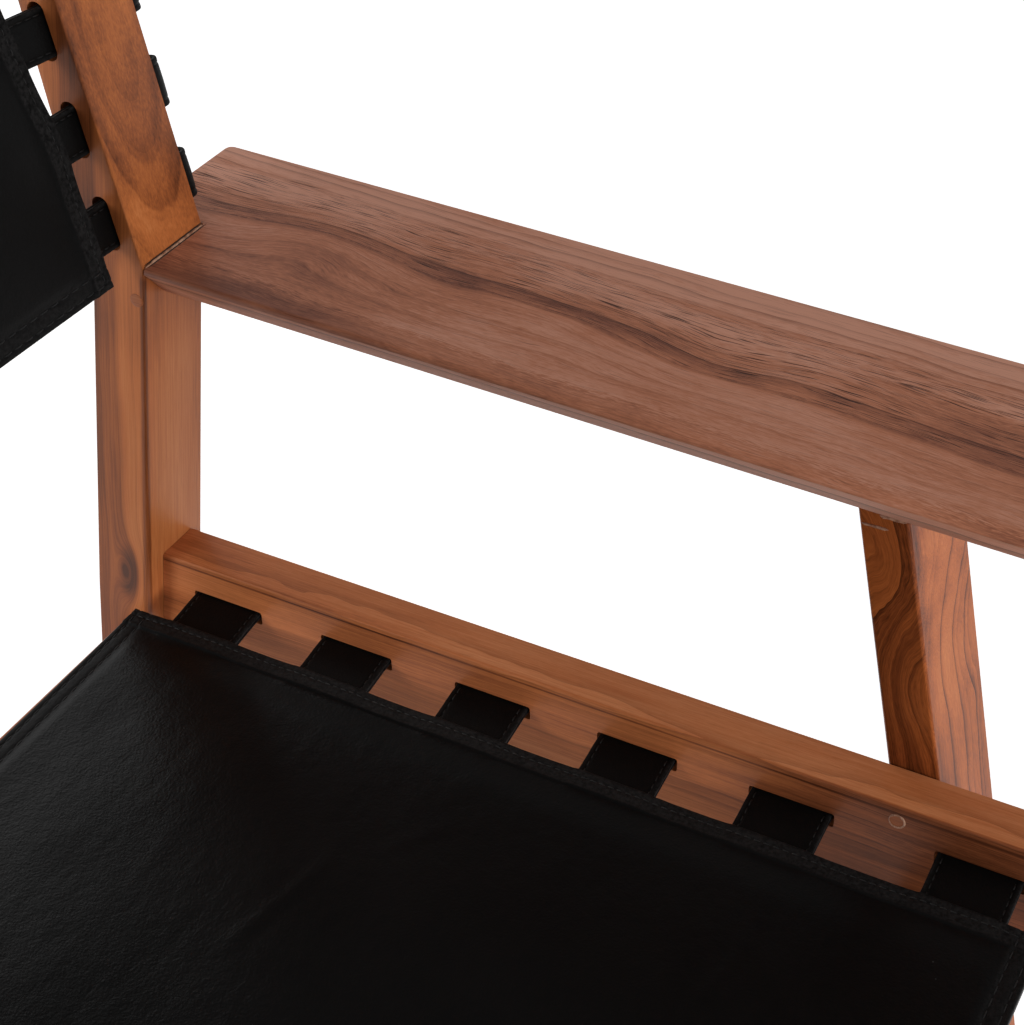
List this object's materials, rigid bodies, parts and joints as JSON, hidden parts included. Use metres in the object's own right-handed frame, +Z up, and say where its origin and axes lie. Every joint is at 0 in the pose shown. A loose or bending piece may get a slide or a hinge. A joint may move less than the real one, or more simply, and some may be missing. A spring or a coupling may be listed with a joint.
{
  "type": "sling lounge chair",
  "caption": "Low lounge chair with a wooden frame, broad flat armrests and a leather seat and back slung on tabs that pass through slots and round dowels.",
  "frame": {"origin": "on the floor, under the middle of the chair's bounding box", "axes": "+Z up, -Y the way the sitter faces, +X the sitter's left"},
  "size_m": [0.7786, 0.6152, 0.8619],
  "materials": {
    "frame_wood": "satin lacquer",
    "dowel_wood": "satin lacquer",
    "tab_leather": "semi-gloss",
    "sling_leather": "semi-gloss"
  },
  "bodies": {
    "root": {"rear_post_left": "frame_wood", "rear_post_right": "frame_wood", "front_leg_left": "frame_wood", "front_leg_right": "frame_wood", "armrest_left": "frame_wood", "armrest_right": "frame_wood", "seat_rail_left": "frame_wood", "seat_rail_right": "frame_wood", "rail_plug_left": "frame_wood", "rail_plug_right": "frame_wood", "rear_stretcher": "frame_wood", "front_stretcher": "frame_wood", "back_top_rail": "frame_wood", "seat_dowel_left_1": "dowel_wood", "seat_dowel_left_2": "dowel_wood", "seat_dowel_left_3": "dowel_wood", "seat_dowel_left_4": "dowel_wood", "seat_dowel_left_5": "dowel_wood", "seat_dowel_left_6": "dowel_wood", "seat_dowel_right_1": "dowel_wood", "seat_dowel_right_2": "dowel_wood", "seat_dowel_right_3": "dowel_wood", "seat_dowel_right_4": "dowel_wood", "seat_dowel_right_5": "dowel_wood", "seat_dowel_right_6": "dowel_wood", "back_dowel_left_1": "dowel_wood", "back_dowel_left_2": "dowel_wood", "back_dowel_left_3": "dowel_wood", "back_dowel_left_4": "dowel_wood", "back_dowel_left_5": "dowel_wood", "back_dowel_right_1": "dowel_wood", "back_dowel_right_2": "dowel_wood", "back_dowel_right_3": "dowel_wood", "back_dowel_right_4": "dowel_wood", "back_dowel_right_5": "dowel_wood", "seat_tab_left_1": "tab_leather", "seat_tab_left_2": "tab_leather", "seat_tab_left_3": "tab_leather", "seat_tab_left_4": "tab_leather", "seat_tab_left_5": "tab_leather", "seat_tab_left_6": "tab_leather", "seat_tab_right_1": "tab_leather", "seat_tab_right_2": "tab_leather", "seat_tab_right_3": "tab_leather", "seat_tab_right_4": "tab_leather", "seat_tab_right_5": "tab_leather", "seat_tab_right_6": "tab_leather", "back_tab_left_1": "tab_leather", "back_tab_left_2": "tab_leather", "back_tab_left_3": "tab_leather", "back_tab_left_4": "tab_leather", "back_tab_left_5": "tab_leather", "back_tab_right_1": "tab_leather", "back_tab_right_2": "tab_leather", "back_tab_right_3": "tab_leather", "back_tab_right_4": "tab_leather", "back_tab_right_5": "tab_leather", "seat_sling": "sling_leather", "back_sling": "sling_leather"}
  },
  "joints": []
}
